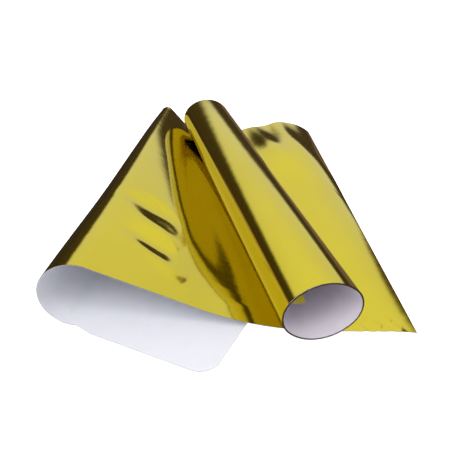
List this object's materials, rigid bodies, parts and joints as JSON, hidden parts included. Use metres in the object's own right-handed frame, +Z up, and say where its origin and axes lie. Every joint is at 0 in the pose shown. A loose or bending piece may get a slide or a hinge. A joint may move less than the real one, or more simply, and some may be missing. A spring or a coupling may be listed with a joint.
{
  "type": "roll of sign vinyl",
  "caption": "Small coreless roll of gold mirror sign vinyl resting on a loose sheet of the same vinyl, whose left end curls under to show its white liner.",
  "frame": {"origin": "on the floor under the middle of the roll", "axes": "+Z up, +Y away from the viewer along the width of the loose sheet, +X to the right along its length; the roll's axis is turned 15 degrees anticlockwise from +Y seen from above"},
  "size_m": [0.4055, 0.6628, 0.0812],
  "materials": {
    "gold_film": "mirror gloss, metallised gold",
    "adhesive": "clear, tacky",
    "release_liner": "smooth, silicone coated"
  },
  "bodies": {
    "loose_sheet": {"sheet_film": "gold_film", "sheet_adhesive": "adhesive", "sheet_liner": "release_liner", "flap_film": "gold_film", "flap_adhesive": "adhesive", "flap_liner": "release_liner"},
    "right_end": {"right_film": "gold_film", "right_adhesive": "adhesive", "right_liner": "release_liner"},
    "free_corner": {"corner_film": "gold_film", "corner_adhesive": "adhesive", "corner_liner": "release_liner"},
    "peeled_corner": {"peeled_liner": "release_liner"},
    "roll": {"roll_film": "gold_film", "roll_adhesive": "adhesive", "roll_liner": "release_liner"},
    "roll_tail": {"tail_film": "gold_film", "tail_adhesive": "adhesive", "tail_liner": "release_liner"},
    "inner_corner": {"ear_film": "gold_film", "ear_adhesive": "adhesive", "ear_liner": "release_liner"}
  },
  "joints": [
    {"name": "roll_lift", "type": "slide", "parent": "loose_sheet", "child": "roll", "axis": [0, 0, 1], "range_m": [0, 0.15]},
    {"name": "tail_lift", "type": "hinge", "parent": "roll", "child": "roll_tail", "pos_m": [-0.00683, -0.00183, 0.0736], "axis": [-0.2588, 0.9659, 0], "range_deg": [0, 40]},
    {"name": "inner_corner_fold", "type": "hinge", "parent": "roll", "child": "inner_corner", "pos_m": [0.04468, -0.30275, 0.05515], "axis": [0.1381, 0.9516, 0.2746], "range_deg": [-35, 35]},
    {"name": "right_end_lift", "type": "hinge", "parent": "loose_sheet", "child": "right_end", "pos_m": [0.0385, 0.019, 0.00058], "axis": [0.2741, -0.9617, 0], "range_deg": [0, 60]},
    {"name": "free_corner_lift", "type": "hinge", "parent": "loose_sheet", "child": "free_corner", "pos_m": [-0.09068, -0.287, 0.00058], "axis": [-1, 0, 0], "range_deg": [0, 30]},
    {"name": "liner_corner_peel", "type": "hinge", "parent": "free_corner", "child": "peeled_corner", "pos_m": [-0.04793, -0.31495, 0.00058], "axis": [-0.933, -0.3598, 0], "range_deg": [0, 120]}
  ]
}
